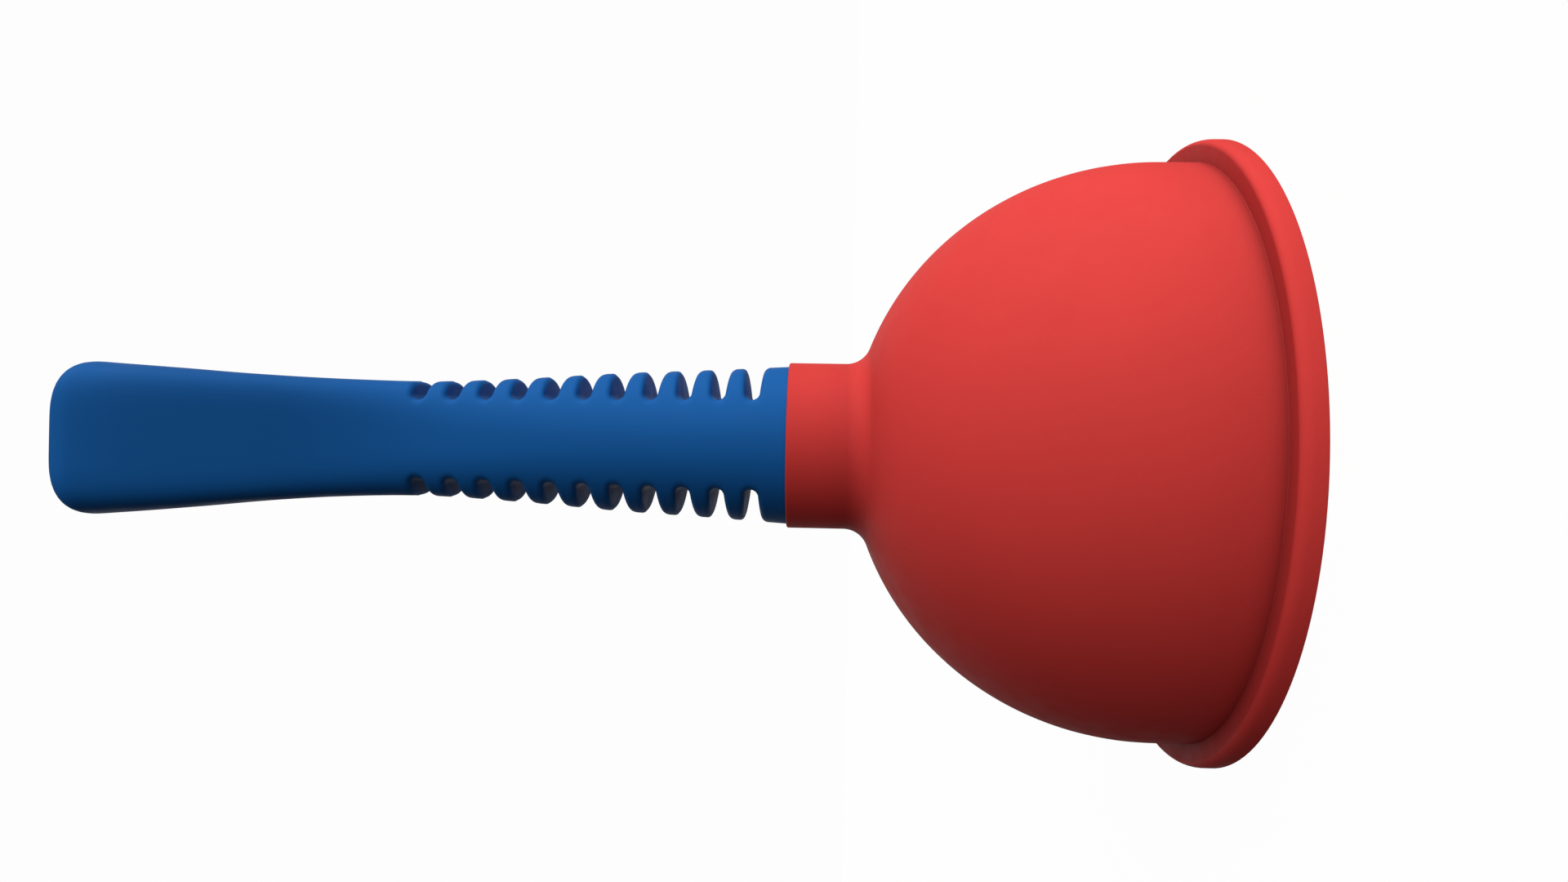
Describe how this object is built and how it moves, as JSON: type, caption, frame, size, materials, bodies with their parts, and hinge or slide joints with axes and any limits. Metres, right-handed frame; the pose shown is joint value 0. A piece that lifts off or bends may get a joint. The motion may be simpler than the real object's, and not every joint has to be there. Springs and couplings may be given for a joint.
{
  "type": "toilet plunger",
  "caption": "Short-handled force-cup plunger: a domed rubber cup with a flanged rim and a collar, on a notched moulded handle held by a screw.",
  "frame": {"origin": "centre of the rim's flat base, on the surface that the cup stands on", "axes": "+Z along the plunger's axis, from the rim to the handle's end; +X and -X towards the handle's two notched edges; +Y and -Y towards its plain faces"},
  "size_m": [0.127, 0.127, 0.2358],
  "materials": {
    "red_rubber": "satin",
    "blue_plastic": "satin",
    "insert_brass": "satin",
    "washer_steel": "satin",
    "black_rubber": "matte",
    "screw_steel": "satin"
  },
  "bodies": {
    "cup": {"rubber_cup": "red_rubber"},
    "handle": {"handle": "blue_plastic", "threaded_insert": "insert_brass", "load_washer": "washer_steel", "sealing_washer": "black_rubber", "fixing_screw": "screw_steel"}
  },
  "joints": [
    {"name": "plunge_stroke", "type": "slide", "parent": "cup", "child": "handle", "axis": [0, 0, -1], "range_m": [0, 0.03], "stiffness_N_per_m": 1500, "springref_m": -0.005, "deforming": ["rubber_cup"]}
  ]
}
